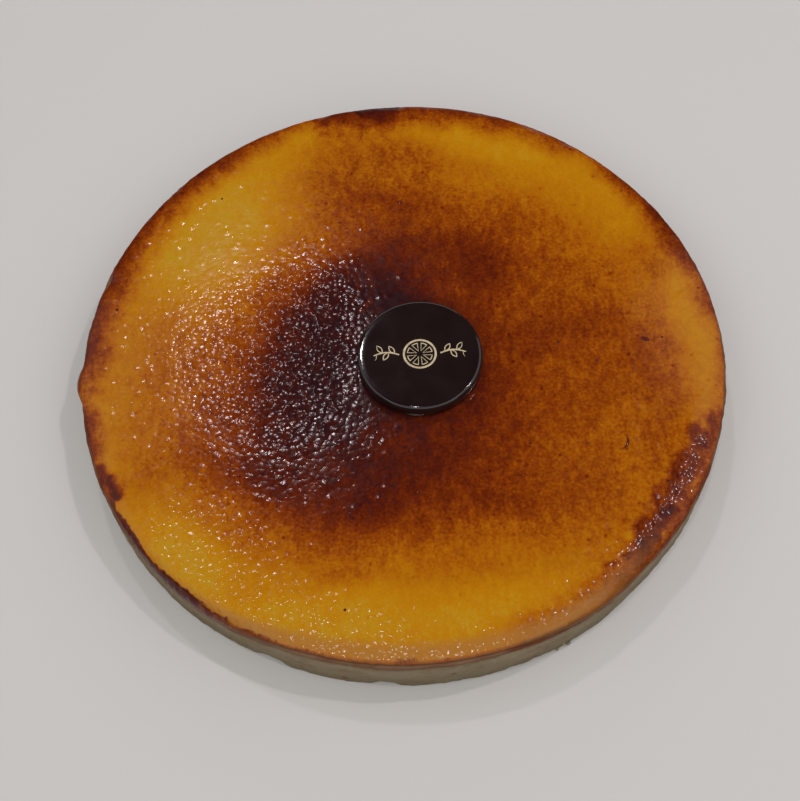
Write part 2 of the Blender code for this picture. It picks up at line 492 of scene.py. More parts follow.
def blend_colour(tree, share, first, second):
    """The first colour turning into the second as the share goes from 0 to 1."""
    node = add_node(tree, "Mix")
    node.data_type = "RGBA"
    for socket, value in ((0, share), (6, first), (7, second)):
        feed(tree, node.inputs[socket], value)
    return node.outputs[2]


def relief(tree, height, depth, strength=1.0, below=None):
    """A bump of the given depth, laid over another bump if one is given."""
    node = add_node(tree, "Bump", Height=height, Distance=depth, Strength=strength)
    if below is not None:
        tree.links.new(below, node.inputs["Normal"])
    return node.outputs["Normal"]


# %% [markdown]
# ## The pastry case
#
# The case is shortcrust: flour, butter and sugar, baked pale. Its side took the ring's straight
# shape, but butter and crumb leave it rough, with small pits and a broken foot. The rough side is
# real geometry, because the foot shows against the table as an uneven line: the points of a fine
# turned wall are pushed in and out with noise.

# %% Shape of the pastry case
CASE_POINTS = 900
CASE_SIDE_RINGS = 40
CASE_GRAIN = 0.30 * MM
CASE_GRAIN_SIZE = 9.0 * MM
CRUMB_SIZE = 2.4 * MM
CRUMB_DEPTH = 0.22 * MM
FINE_CRUMB_SIZE = 1.0 * MM
FINE_CRUMB_DEPTH = 0.08 * MM
CHIP_REACH = 6.0 * MM
RIM_ROUND = 0.5 * MM
FOOT_ROUND = 0.7 * MM
FOOT_INSET = 2.2 * MM


def pastry_roughness(place):
    """How far the crumb stands out of the smooth wall."""
    rough = CRUMB_DEPTH * noise(place / CRUMB_SIZE)
    rough += FINE_CRUMB_DEPTH * noise(place / FINE_CRUMB_SIZE)
    pit = noise(place / (1.7 * CRUMB_SIZE) + Vector((7.0, 3.0, 1.0)))
    return rough - 0.5 * MM * max(0.0, pit - 0.35)


def side_point(radius, height, bearing):
    """A point of the outer wall, with its chips and crumb."""
    base = around(radius, bearing, height * 2.0)
    wide = CASE_GRAIN * noise(base / CASE_GRAIN_SIZE)
    chip = sum_of_humps(bearing, FOOT_CHIPS) * (1.0 - smooth_step(height / CHIP_REACH))
    crumb = pastry_roughness(around(radius, bearing, height))
    ragged = 0.0
    low = 1.0 - smooth_step(height / (2.5 * MM))
    if low > 0.0:
        ragged = 0.3 * MM * low * noise(around(radius, bearing, 0.0) / (4.0 * MM))
    return around(radius + wide + chip + crumb + ragged, bearing, height)


def shape_of_case():
    """Rings of the case: floor, inner wall, rim, rough side, flat underside."""
    bearings = bearings_round(CASE_POINTS)
    rings = [[Vector((0.0, 0.0, CASE_FLOOR))]]

    def add(rule):
        rings.append([rule(bearing) for bearing in bearings])

    def inner(bearing):
        return case_radius(bearing) - CASE_WALL

    add(lambda b: around(inner(b), b, CASE_FLOOR))
    add(lambda b: around(inner(b), b, rim_height(b) - RIM_ROUND))
    add(lambda b: around(inner(b) + RIM_ROUND, b, rim_height(b)))
    add(lambda b: around(case_radius(b) - 3.0 * RIM_ROUND, b, rim_height(b)))
    for corner in range(1, 4):
        turn = 0.5 * pi * corner / 4.0
        back = RIM_ROUND * (1.0 - sin(turn))
        down = RIM_ROUND * (1.0 - cos(turn))
        add(lambda b: side_point(case_radius(b) - back, rim_height(b) - down, b))
    for ring in range(CASE_SIDE_RINGS + 1):
        share = ring / CASE_SIDE_RINGS
        add(lambda b: side_point(
            case_radius(b), (rim_height(b) - RIM_ROUND) * (1.0 - share) + FOOT_ROUND * share, b))
    add(lambda b: side_point(case_radius(b) - 0.3 * FOOT_ROUND, 0.35 * FOOT_ROUND, b))
    add(lambda b: around(case_radius(b) - FOOT_INSET, b, 0.0))
    rings.append([Vector((0.0, 0.0, 0.0))])
    return rings


case_mesh = skin_stacks("pastry", [shape_of_case()])

# %% [markdown]
# ## Browning along the rim
#
# The edge has the oven's heat from two sides, so it browns on its own account, in soft stretches
# that are darkest near the lip and fade inwards over about a centimetre. The boiled-over bank at
# the right front is darkest along its middle instead. Between the stretches the bright custard
# runs to the edge.

# %% Bands along the rim
RIM_BANDS = [
    # bearing, half width in degrees, darkest line and fading in mm from the lip, strength
    (175, 9, 0, 14, 0.5), (160, 11, 0, 15, 0.48), (146, 9, 0, 15, 0.44), (133, 9, 0, 13, 0.5),
    (121, 8, 0, 11, 0.4), (109, 8, 0, 8, 0.28), (99, 6, 0, 16, 0.58), (93, 4.5, 0, 16, 0.78),
    (84, 7, 0, 16, 0.5), (74, 9, 0, 14, 0.5), (61, 9, 0, 12, 0.4), (48, 8, 0, 7, 0.26),
    (36, 8, 0, 9, 0.44), (24, 9, 0, 11, 0.48), (12, 7, 0, 10.5, 0.32), (-4, 10, 0, 6, 0.14),
    (-18.5, 3.5, 2.5, 5, 0.42), (-24, 5, 4.5, 7.5, 0.46), (-29, 4, 6, 7, 0.5),
    (-35, 4, 6.5, 7, 0.52), (-40, 4, 6, 7, 0.58), (-45, 4, 4.5, 6.5, 0.56),
    (-51, 4.5, 2.5, 6.5, 0.46), (-40, 14, 0, 8, 0.34), (-60, 12, 0, 13, 0.4),
    (-155, 2.2, 2.6, 3.8, 0.66), (-158.5, 1.8, 1.4, 3.2, 0.52), (-167, 5, 0, 7.5, 0.45),
]
EDGE_LINE = 0.16
EDGE_LINE_WIDTH = 1.3


def rim_band(radius, bearing):
    """How brown the rim is at a place."""
    from_edge = (lip_radius(bearing) - radius) / MM
    place = around(radius, bearing, 0.0)
    wobble = noise(place / (7.0 * MM)) + 0.7 * noise(place / (2.6 * MM))
    browned = 0.0
    for centre, half_width, middle, reach, strength in RIM_BANDS:
        along = hump(bearing + 1.5 * wobble, centre, 1.9 * half_width)
        if along > 0.0 and from_edge < middle + 1.5 * reach:
            aside = (abs(from_edge - middle) + 0.14 * reach * wobble) / reach
            fade = 1.0 - smooth_step((aside - 0.08) / 0.92)
            browned = max(browned, strength * smooth_step(1.5 * along) * fade)
    return browned + EDGE_LINE * exp(-from_edge / EDGE_LINE_WIDTH)


# %% [markdown]
# ## The pastry's finish
#
# Pale shortcrust is never one colour. It is a warm grey-cream, toasted along the top edge, with
# soft smears where butter ran, and painted darker towards the foot as shade. The finish mixes
# these tones with noise of different grain, and a fine bump gives the dry, sandy surface.

# %% Finish of the pastry
PASTRY_PALE = paint(152, 139, 114)
PASTRY_SHADE = paint(124, 108, 81)
# Painted shade: the colour the side darkens to near the foot
PASTRY_FOOT_SHADE = paint(104, 89, 67)
PASTRY_TOAST = paint(98, 50, 24)
PASTRY_GRAIN = [
    # grain in mm, detail, stretch, share
    (11.0, 2.0, (1.0, 1.0, 1.7), 0.65),
    (1.5, 2.0, (1.0, 1.0, 1.0), 0.35),
]


def pastry_finish():
    """Pale baked shortcrust."""
    material, tree, shader = new_finish("pale_shortcrust", 0.82, 0.25)
    tone = mottle(tree, PASTRY_GRAIN, 0.0, 1.0)
    body = colour_scale(tree, tone, [(0.1, PASTRY_SHADE), (0.9, PASTRY_PALE)])
    # painted shade, growing towards the foot of the wall
    foot = spread(tree, stored(tree, "foot"), 0.2, 0.9, 0.0, 0.65)
    body = blend_colour(tree, foot, body, PASTRY_FOOT_SHADE)
    spot = spread(tree, pits(tree, 6.0 * MM).outputs["Distance"], 0.10, 0.22, 1.0, 0.0)
    toasted = sum_up(tree, "MULTIPLY", spot, 0.35)
    toast = sum_up(tree, "MAXIMUM", toasted, stored(tree, "toast"))
    sand = relief(tree, grain(tree, 0.5 * MM), 0.07 * MM, 0.6)
    wire(tree, shader, Base_Color=blend_colour(tree, toast, body, PASTRY_TOAST),
         Normal=relief(tree, grain(tree, 2.2 * MM), 0.20 * MM, 0.5, sand))
    return material


def store(mesh, name, values):
    """Keep one number for each point of a mesh, for its finish to read."""
    attribute = mesh.attributes.new(name, "FLOAT", "POINT")
    attribute.data.foreach_set("value", values)


# Small spots: bearing, height and size in mm
TOAST_SPOTS = [(-102.0, 4.0, 1.0), (-84.0, 9.0, 0.8), (-70.0, 3.0, 0.7)]


def toast_at(place):
    """How browned the pastry is: along its top edge, and in a few small spots."""
    bearing = bearing_of(place)
    below_rim = (rim_height(bearing) - place.z) / MM
    hot = 0.70 + 1.1 * rim_band(lip_radius(bearing), bearing)
    patchy = 0.8 + 0.4 * noise(place / (9.0 * MM))
    browned = min(hot * patchy, 1.0) * exp(-max(below_rim - 1.5, 0.0) / 1.1)
    for spot_bearing, height, size in TOAST_SPOTS:
        aside = radians(bearing - spot_bearing) * CASE_RADIUS / MM
        up = place.z / MM - height
        browned = max(browned, exp(-(aside * aside + up * up) / (size * size)))
    return min(browned, 1.0)


store(case_mesh, "toast", [toast_at(vertex.co) for vertex in case_mesh.vertices])
# how far down the wall each point is, for the painted shade at the foot
store(case_mesh, "foot", [1.0 - vertex.co.z / CASE_RIM_HEIGHT for vertex in case_mesh.vertices])
place_piece(case_mesh, "pastry_case", pastry_finish())

# %% [markdown]
# ## Where the top is brown
#
# The colour of a caramelised top tells how hot each place got. One number does the work: how burnt
# a place is, from 0 for bright custard to 1 for bitter black caramel. It is built from soft
# patches laid over one another as layers of heat, the wide ones first and the small ones last, the
# way a cook's torch works.

# %% Patches of heat
# Every patch: x, y, half width, half depth in mm, turn in degrees, strength
BROWNED_PATCHES = [
    (6, -3, 94, 84, 0, 0.31), (22, -4, 74, 64, 0, 0.21), (-10, -16, 42, 46, 0, 0.33),
    (-8, -4, 33, 37, 0, 0.5), (-33, -6, 16, 32, -18, 0.62), (-23, -14, 13, 24, 0, 0.42),
    (-14, -20, 11, 10, 0, 0.24), (-14, 28, 16, 13, 25, 0.5), (-4, 20, 13, 8, 0, 0.6),
    (13, 40, 27, 10, -6, 0.26), (32, 32, 9, 14, 0, 0.18), (10, 56, 34, 12, 0, 0.12),
    (-8, 75, 27, 18, 0, 0.21), (-8, 90, 22, 8, 0, 0.12), (-60, 90, 10, 8, 40, 0.14),
    (-34, 62, 16, 22, 0, 0.06), (-53, 36, 14, 13, 20, 0.12), (-61, -3, 10, 18, 0, 0.12),
    (-40, -58, 28, 16, -18, 0.18), (-28, -46, 26, 13, -14, 0.36), (-88, -40, 8, 8, 0, 0.08),
    (84, -40, 9, 14, 0, 0.11), (8, -50, 34, 14, 4, 0.14), (-60, -31, 18, 15, -20, 0.21),
    (-84, -14, 17, 40, 0, 0.12), (34, -57, 10, 6, 0, 0.12), (62, -62, 24, 18, 0, 0.12),
    (22, 84, 18, 8, -10, 0.08), (46, 3, 12, 9, 0, 0.1), (68, 11, 11, 6, 20, 0.08),
    (86, -8, 13, 18, 0, 0.15), (90, 36, 8, 12, 0, 0.13), (-22, -80, 7, 3, 0, 0.12),
    (10, -87, 12, 4, 0, 0.1),
]
BRIGHT_PATCHES = [
    (-66, 52, 30, 22, 45, 0.9), (-50, 76, 18, 12, 35, 0.16), (36, 90, 28, 10, -22, 0.66),
    (-71, -72, 16, 10, -50, 0.8), (2, -31, 12, 7, 0, 0.08), (-10, -93, 56, 9, 2, 0.7),
    (101, 14, 8, 26, 0, 0.5), (78, 62, 16, 22, 40, 0.35),
]


def patch_share(x, y, patch):
    """1 in the middle of a soft oval patch, falling to 0 well outside it."""
    centre_x, centre_y, half_width, half_depth, turn, strength = patch
    angle = radians(turn)
    along = (x - centre_x) * cos(angle) + (y - centre_y) * sin(angle)
    across = (y - centre_y) * cos(angle) - (x - centre_x) * sin(angle)
    square = (along / half_width) ** 2 + (across / half_depth) ** 2
    return strength * exp(-square * square * 0.7) if square < 4.0 else 0.0


def left_by(patches, x, y, start):
    """What the patches leave of the start value at a place given in millimetres."""
    for patch in patches:
        start *= 1.0 - patch_share(x, y, patch)
    return start


def heat_at(x, y):
    """How burnt the flat top is at a place."""
    return left_by(BRIGHT_PATCHES, x, y, 1.0 - left_by(BROWNED_PATCHES, x, y, 1.0))


for name, x, y in (("middle of the burnt patch", -34.0, -4.0), ("front", 0.0, -92.0),
                   ("right", 60.0, 0.0)):
    print("heat at the", name, "=", round(heat_at(x, y), 2))

# %% [markdown]
# ## Blisters
#
# Sugar boils as it browns, and the bubbles set into thousands of small domes, crowded on the left,
# where the heat was, and rare on the right. Patches say how blistered each place is. The domes
# come from Voronoi noise, which knows the nearest of many scattered points: a round bump on each
# point catches the light as one dot, where plain noise catches it in worm-like lines. Each point
# draws a number of its own, and where few domes are wanted only the low numbers get one, so that
# every dome is equally steep. These larger domes and the swellings under them are geometry; the
# small beads packed between them are left to the finish.

# %% Relief of the caramel
BLISTERED_PATCHES = [
    (-37, 6, 22, 35, -10, 0.84), (-57, 5, 26, 27, 0, 0.44), (-54, -38, 32, 18, -30, 0.22),
    (-62, -72, 30, 18, -40, 0.66), (-40, -94, 34, 13, -14, 0.85), (-94, -4, 14, 44, 0, 0.14),
    (-72, 54, 24, 18, 45, 0.12), (-26, 54, 30, 12, 0, 0.06), (-20, -42, 30, 14, 0, 0.12),
    (4, -100, 66, 10, 0, 0.55), (52, -84, 24, 9, 32, 0.5), (-14, -27, 13, 12, 0, 0.2),
]
BLISTER_BASE = 0.04
# Swellings: size and depth
SWELLING = (5.5 * MM, 0.03 * MM)
BANK_SWELLING = (6.0 * MM, 0.25 * MM)
LIP_SWELLING = (2.8 * MM, 0.17 * MM)
DOME_SPACING = 2.7 * MM
DOME_HEIGHT = 0.15 * MM
DOME_REACH = 0.52
BANK_DOME_SPACING = 1.9 * MM
BANK_DOME_HEIGHT = 0.23 * MM


def blister_share(x, y):
    """How blistered a place is, from 0 to 1."""
    return 1.0 - left_by(BLISTERED_PATCHES, x, y, 1.0 - BLISTER_BASE)


def domes(place, spacing, crowded):
    """Round bumps on scattered points, 1 in their middle; crowded says how many have one."""
    distances, points = voronoi(place / spacing)
    drawn = 0.5 + 0.5 * cell(points[0] * 7.3)
    kept = smooth_step(0.5 + (crowded - drawn) / 0.3)
    share = distances[0] / DOME_REACH
    return kept * max(0.0, 1.0 - share * share)


def blister_height(place, blistered, banked):
    """Height of the bumps at a place."""
    flat = Vector((place.x, place.y, 0.0))
    size, depth = SWELLING
    height = blistered * depth * noise(flat / size)
    height += DOME_HEIGHT * domes(flat, DOME_SPACING, blistered)
    if banked > 0.0:
        size, depth = BANK_SWELLING
        height += banked * depth * noise(flat / size)
        height += banked * BANK_DOME_HEIGHT * domes(flat, BANK_DOME_SPACING, 0.9)
    return height


# %% [markdown]
# ## The custard's shape
#
# The custard fills the case and ends in a soft shoulder. In three places it boiled over: it laps
# down the side at the lower left and the right front, and one drip hangs on the left. A bank of
# thick caramel follows the right front edge. The same rules shaped the solid, so the dressed
# custard lies where the solid is.

# %% Height of the custard
SWELL_HEIGHT = 0.35 * MM
SWELL_SIZE = 38.0 * MM
DISC_CLEARING = 12.0 * MM
RIDGE_HEIGHT = 0.8 * MM
RIDGE_BEARING = -36.0
RIDGE_REACH = 30.0
RIDGE_FROM_EDGE = 7.5 * MM
RIDGE_WIDTH = 5.0 * MM


def caramel_bank(radius, bearing):
    """How much of the thick caramel bank lies at a place, from 0 to 1."""
    along = hump(bearing, RIDGE_BEARING, RIDGE_REACH)
    across = (radius - (lip_radius(bearing) - RIDGE_FROM_EDGE)) / RIDGE_WIDTH
    return along * exp(-across * across)


def bank_blisters(radius, bearing):
    """How crowded the big blisters on the bank and the lip beside it are, from 0 to 1."""
    along = smooth_step(2.0 * hump(bearing, -38.0, 26.0))
    across = (lip_radius(bearing) - radius - 4.5 * MM) / (5.5 * MM)
    return along * exp(-across * across)


def clear_of_disc(place):
    """0 under the chocolate disc, rising to 1 away from it."""
    away = hypot(place.x - DISC_MIDDLE.x, place.y - DISC_MIDDLE.y) - DISC_RADIUS
    return smooth_step(away / DISC_CLEARING)


def custard_height(radius, bearing):
    """The height of the custard's smooth top at a place."""
    width = shoulder_width(bearing)
    inside = lip_radius(bearing) - width
    share = min(max((radius - inside) / width, 0.0), 1.0)
    edge = rim_height(bearing) + PIECE_GAP + LIP_THICKNESS
    drop = (CUSTARD_TOP - edge) * (1.0 - sqrt(1.0 - share * share))
    place = around(radius, bearing, 0.0)
    rise = SWELL_HEIGHT * noise(place / SWELL_SIZE) * clear_of_disc(place)
    rise += RIDGE_HEIGHT * caramel_bank(radius, bearing)
    return CUSTARD_TOP - drop + rise * (1.0 - share * share)


print("custard height at the front lip:", round(custard_height(lip_radius(-90.0), -90.0) / MM, 2))

# %% [markdown]
# ## The custard's mesh
#
# The blisters need the finest triangles, so the honeycomb of rings is centred in the blistered
# patch and slides back to the middle of the tart as it grows: its triangles are small where the
# relief is strong and larger where the top is smooth.

# %% Mesh of the custard
TOP_RINGS = 156
EDGE_RINGS = 13
EDGE_POINTS = 6 * TOP_RINGS
FINE_PLACE = Vector((-26.0, -3.0, 0.0)) * MM
SHOULDER_START = 0.25


def shoulder_place(share, bearing):
    """A point of the rounded shoulder, from 0 at its inside to 1 at the lip."""
    width = shoulder_width(bearing)
    radius = lip_radius(bearing) - width + share * width
    return around(radius, bearing, custard_height(radius, bearing))


def lip_droop(bearing):
    """How far the lip sags below its smooth edge, more where it boiled over."""
    place = around(CASE_RADIUS, bearing, 0.0)
    boiled = sum_of_humps(bearing, LIP_CHANGES[:2] + LIP_CHANGES[3:]) / MM
    uneven = 0.35 + 0.9 * noise(place / (7.0 * MM)) + 0.5 * noise(place / (3.2 * MM))
    return max(0.05, uneven) * (0.35 + 1.0 * min(max(boiled, 0.0), 1.0)) * MM


def front_lip(share, bearing):
    """1 on the wide pale lip along the front, whose paler colour is partly painted sheen, 0 on the
    flat top and at the back.
    """
    return smooth_step((share - 0.15) / 0.5) * smooth_step(1.6 * hump(bearing, -92.0, 62.0))


def roughen(place, share, bearing):
    """Push a point of the top out by the height of its blisters."""
    banked = bank_blisters(hypot(place.x, place.y), bearing)
    height = blister_height(place, blister_share(place.x / MM, place.y / MM),
                            max(banked, burnt_strip(share, bearing)))
    size, depth = LIP_SWELLING
    height += front_lip(share, bearing) * depth * noise(place / size)
    height *= clear_of_disc(place)
    out = around(share, bearing, sqrt(max(0.0, 1.0 - share * share)))
    return place + out * height


# Along the lip: bearing, half width in degrees, how much of the shoulder is burnt, strength
LIP_STRIPS = [
    (-150.5, 3, 0.28, 0.62), (-145.5, 3.5, 0.44, 0.78), (-139.5, 4.5, 0.34, 0.72),
    (-132.5, 5, 0.46, 0.78), (-125.5, 4, 0.32, 0.6), (-118, 4, 0.22, 0.5),
    (-110, 5, 0.16, 0.42), (-91.7, 1.9, 0.22, 0.46), (-85.6, 1.3, 0.18, 0.48),
]


def burnt_strip(share, bearing):
    """How much of the dark burnt strip lies at this share of the shoulder."""
    ragged = 0.14 * noise(Vector((bearing * 0.9, share * 3.0, 5.0)))
    burnt = 0.0
    for centre, half_width, reach, strength in LIP_STRIPS:
        away = abs((bearing - centre + 180.0) % 360.0 - 180.0) / half_width
        if away < 1.6:
            along = 1.0 - smooth_step(away - 0.6)
            across = smooth_step((share - (1.0 - reach) + ragged) / 0.10)
            burnt = max(burnt, strength * along * across)
    return burnt


def shape_of_custard():
    """All rings of the custard, with the share of the shoulder each point is at."""
    rings = [[FINE_PLACE.copy()]]
    for k in range(1, TOP_RINGS + 1):
        ring = []
        for bearing in bearings_round(6 * k):
            width = shoulder_width(bearing)
            edge = around(lip_radius(bearing) - (1.0 - SHOULDER_START) * width, bearing, 0.0)
            ring.append(FINE_PLACE.lerp(edge, k / TOP_RINGS))
        rings.append(ring)
    shares = []
    for ring in rings:
        for place in ring:
            radius = place.length
            bearing = bearing_of(place)
            width = shoulder_width(bearing)
            share = min(max((radius - lip_radius(bearing) + width) / width, 0.0), 1.0)
            place.z = custard_height(radius, bearing)
            place[:] = roughen(place, share, bearing)
            shares.append(share)
    bearings = bearings_round(EDGE_POINTS)
    first_turn = asin(SHOULDER_START)
    for k in range(1, EDGE_RINGS + 1):
        share = sin(first_turn + (0.5 * pi - first_turn) * k / EDGE_RINGS)
        ring = []
        for bearing in bearings:
            place = roughen(shoulder_place(share, bearing), share, bearing)
            place.z -= lip_droop(bearing) * share ** 6
            ring.append(place)
            shares.append(share)
        rings.append(ring)
    rings.append([around(lip_radius(b) - LIP_UNDERCUT, b, rim_height(b) + PIECE_GAP - lip_droop(b))
                  for b in bearings])
    plug = [(case_radius(b) - CASE_WALL - PIECE_GAP, b) for b in bearings]
    low = CASE_FLOOR + PIECE_GAP
    rings.append([around(radius, b, rim_height(b)) for radius, b in plug])
    rings.append([around(radius, b, low) for radius, b in plug])
    rings.append([Vector((0.0, 0.0, low))])
    shares += [1.0] * (3 * EDGE_POINTS + 1)
    return rings, shares


custard_rings, shoulder_shares = shape_of_custard()
custard_mesh = skin_stacks("custard_top", [custard_rings])
print("custard points:", len(custard_mesh.vertices))

# %% [markdown]
# ## The heat of every point
#
# The mesh now carries its own numbers: each point is told how brown it is, whether it lies in the
# thick caramel at the edge, and how blistered its place is. The finish reads them later.

# %% Browning of the custard


def bank_spots(radius, bearing, place):
    """Dark spots in the boiled-over bank, and lighter places between them."""
    bank = smooth_step(2.0 * caramel_bank(radius, bearing))
    spots = noise(place / (4.0 * MM)) + 0.6 * noise(place / (1.8 * MM))
    return 0.30 * bank * spots


def numbers_at(place, share):
    """The numbers of one point: browning, thick caramel, burnt strip, blisters and pale lip, whose
    paleness is partly painted sheen.
    """
    x = place.x / MM
    y = place.y / MM
    radius = hypot(place.x, place.y)
    bearing = bearing_of(place)
    rim = min(rim_band(radius, bearing) + bank_spots(radius, bearing, place), 1.0)
    heat = 1.0 - (1.0 - heat_at(x, y)) * (1.0 - rim)
    strip = burnt_strip(share, bearing)
    lip = front_lip(share, bearing)
    baked_edge = lip * smooth_step((share - 0.82) / 0.16)
    return (heat + 0.40 * baked_edge, max(strip, bank_blisters(radius, bearing)), strip,
            blister_share(x, y), lip * (1.0 - 0.6 * baked_edge))


numbers = zip(*[numbers_at(vertex.co, share)
                for vertex, share in zip(custard_mesh.vertices, shoulder_shares)])
for name, values in zip(("browning", "bank", "strip", "blister", "lip"), numbers):
    store(custard_mesh, name, values)
    print("mean", name, "=", round(sum(values) / len(values), 3))

# %% [markdown]
# ## The custard's finish
#
# Heat runs through a scale of colours: bright orange-yellow custard, toffee, red-brown, and at the
# end a purple black. Real caramel is mottled, because sugar gathers in specks, so noise of three
# sizes shifts the heat a little before the scale is read. The surface is smooth in patches, as a
# thin sugar glass is. Where blisters crowd, round beads fill the gaps between the larger domes
# edge to edge, so no flat spot is left that could mirror a lamp as a grey veil.

# %% Finish of the custard
HEAT_SCALE = [
    (0.00, paint(175, 131, 24)),
    (0.06, paint(176, 118, 10)),
    (0.14, paint(170, 108, 8)),
    (0.28, paint(158, 88, 7)),
    (0.42, paint(133, 60, 5)),
    (0.56, paint(104, 38, 5)),
    (0.70, paint(82, 25, 6)),
    (0.84, paint(58, 18, 14)),
    (1.00, paint(38, 15, 18)),
]
STRIP_SCALE = [
    (0.0, paint(150, 84, 30)),
    (0.5, paint(100, 42, 24)),
    (1.0, paint(52, 18, 22)),
]
# The front lip's colour: partly the paler custard there, partly a painted sheen of the lamps that
# the sloping shoulder faces
LIP_BLUSH_AND_SHEEN = paint(158, 106, 46)
CARAMEL_GRAIN = [
    # grain in mm, detail, stretch, share
    (1.0, 2.0, (1.0, 1.0, 1.0), 0.19),
    (3.2, 3.0, (1.3, 0.7, 1.0), 0.17),
    (14.0, 2.0, (1.0, 1.0, 1.0), 0.10),
]
BEAD_SPACING = 1.9 * MM
BEAD_HEIGHT = 0.20 * MM
FINE_DOME_SPACING = 1.6 * MM
FINE_DOME_HEIGHT = 0.03 * MM


def small_domes(tree, spacing, crowded):
    """Round bumps on scattered points, 1 in their middle; crowded says how many have one."""
    texture = pits(tree, spacing)
    share = sum_up(tree, "DIVIDE", texture.outputs["Distance"], DOME_REACH)
    bump = sum_up(tree, "SUBTRACT", 1.0, sum_up(tree, "MULTIPLY", share, share))
    drawn = add_node(tree, "SeparateColor", Color=texture.outputs["Color"])
    kept = spread(tree, sum_up(tree, "SUBTRACT", crowded, drawn.outputs["Red"]), -0.15, 0.15)
    return sum_up(tree, "MULTIPLY", kept, sum_up(tree, "MAXIMUM", bump, 0.0))


def custard_finish():
    """Caramelised custard under a thin layer of sugar glass."""
    material, tree, shader = new_finish("caramelised_custard", 0.42, 0.2)
    shader.inputs["IOR"].default_value = 1.45
    mottled = mottle(tree, CARAMEL_GRAIN, -0.5, 0.5)
    heat = stored(tree, "browning")
    room = spread(tree, heat, 0.0, 0.35, 0.25, 1.0)
    specks = spread(tree, pits(tree, 6.1 * MM).outputs["Distance"], 0.04, 0.14, 0.18, 0.0)
    shift = sum_up(tree, "MULTIPLY", sum_up(tree, "ADD", mottled, specks), room)
    top = colour_scale(tree, sum_up(tree, "ADD", heat, shift), HEAT_SCALE)
    # the front lip is painted paler and greyer: partly its own colour, partly painted sheen
    blush_and_sheen = sum_up(tree, "MULTIPLY", stored(tree, "lip"), 0.85)
    top = blend_colour(tree, blush_and_sheen, top, LIP_BLUSH_AND_SHEEN)
    strip = sum_up(tree, "ADD", stored(tree, "strip"), mottled)
    strip_colour = colour_scale(tree, strip, STRIP_SCALE)
    top = blend_colour(tree, spread(tree, strip, 0.25, 0.6), top, strip_colour)
    crowded = sum_up(tree, "MAXIMUM", stored(tree, "blister"), stored(tree, "bank"))
    distance = pits(tree, BEAD_SPACING).outputs["Distance"]
    beads = sum_up(tree, "SUBTRACT", 1.0, sum_up(tree, "MULTIPLY", distance, distance))
    beads = relief(tree, beads, BEAD_HEIGHT, spread(tree, crowded, 0.1, 0.75))
    small = small_domes(tree, FINE_DOME_SPACING, crowded)
    skin = relief(tree, small, FINE_DOME_HEIGHT, 1.0, beads)
    dull = spread(tree, grain(tree, 3.5 * MM), 0.35, 0.65, 0.11, 0.16)
    wire(tree, shader, Base_Color=top, Normal=skin, Roughness=dull)
    return material


place_piece(custard_mesh, "custard", custard_finish())

# %% [markdown]
# ## Specks and crumbs
#
# Some marks are too small for the patches of heat: grains of sugar that burnt black, one curled
# crack in the caramel on the right, and a string of larger blisters beside the disc. All are low
# domes, sunk a little into the custard so that nothing floats. Three rough crumbs of pastry cling
# to the foot at the right front.

# %% Specks on the caramel
DARK_SPECKS = [
    # x, y, radius in mm
    (-99.3, 23.3, 0.55), (1.9, 63.6, 0.8), (-21.5, -91, 0.5), (82.8, 1.6, 0.75),
    (89.4, 1.8, 0.45), (53.7, 1.8, 0.55), (66.2, -6, 0.45), (59.8, -37.3, 0.4),
    (-63.3, 69.3, 0.4), (40.8, -36.3, 0.4), (84.2, -52.6, 0.6),
]
CRACK = [
    (72.4, -34.6, 0.16), (72.8, -35.2, 0.2), (73, -35.8, 0.25), (73.1, -36.4, 0.34),
    (73.1, -37, 0.42), (73, -37.6, 0.48), (72.8, -38.2, 0.5), (72.4, -38.8, 0.42),
    (71.9, -39.3, 0.34), (71.3, -39.7, 0.26), (70.6, -40, 0.2),
]
STRING_OF_BLISTERS = [
    (-13.8, 40.4, 0.7), (-12.4, 37.4, 0.9), (-11.2, 34.4, 0.9), (-10, 31.4, 1),
    (-9.2, 28.4, 0.9), (-12, 20.5, 1), (-13.4, 18.4, 1), (-10.4, 22, 0.9), (84, 1.2, 0.7),
]
SPECK_SIDES = 14
SPECK_HEIGHT = 0.14 * MM
SPECK_SINK = 0.15 * MM
STRING_HEIGHT = 0.10 * MM
STRING_WIDTH = 1.25
# Crumbs: bearing, height and size in mm
CRUMBS = [(-63.7, 1.1, 0.75), (-65.8, 0.9, 0.6), (-64.6, 3.2, 0.5)]


def low_dome(x, y, size, height):
    """The rings of a round bump on the custard, at a place in millimetres."""
    place = Vector((x * MM, y * MM, 0.0))
    place.z = custard_height(place.length, bearing_of(place))
    levels = [(share, height * (1.0 - share * share)) for share in (0.35, 0.7, 1.0)]
    rings = [[place + Vector((0.0, 0.0, height))]]
    for share, rise in levels + [(0.9, -SPECK_SINK)]:
        rings.append([place + around(share * size * MM, 360.0 * i / SPECK_SIDES, rise)
                      for i in range(SPECK_SIDES)])
    rings.append([place + Vector((0.0, 0.0, -SPECK_SINK))])
    return rings


def crumb(bearing, height, size):
    """The rings of a rough lump of pastry against the foot of the wall."""
    middle = around(case_radius(bearing) + 0.25 * size * MM, bearing, height * MM)
    rings = []
    for k in range(7):
        turn = pi * k / 6.0
        sides = 1 if k in (0, 6) else 12
        ring = []
        for i in range(sides):
            way = around(sin(turn), 360.0 * i / sides, cos(turn))
            uneven = 1.0 + 0.5 * noise(1.3 * way + Vector((bearing, height, size)))
            ring.append(middle + way * (size * MM * uneven))
        rings.append(ring)
    return rings


def speck_finish():
    """Burnt sugar, nearly black, with a shine."""
    material, tree, shader = new_finish("burnt_sugar", 0.14, 0.2)
    wire(tree, shader, Base_Color=two_tones(tree, 0.8 * MM, paint(60, 19, 13), paint(88, 33, 15)))
    return material


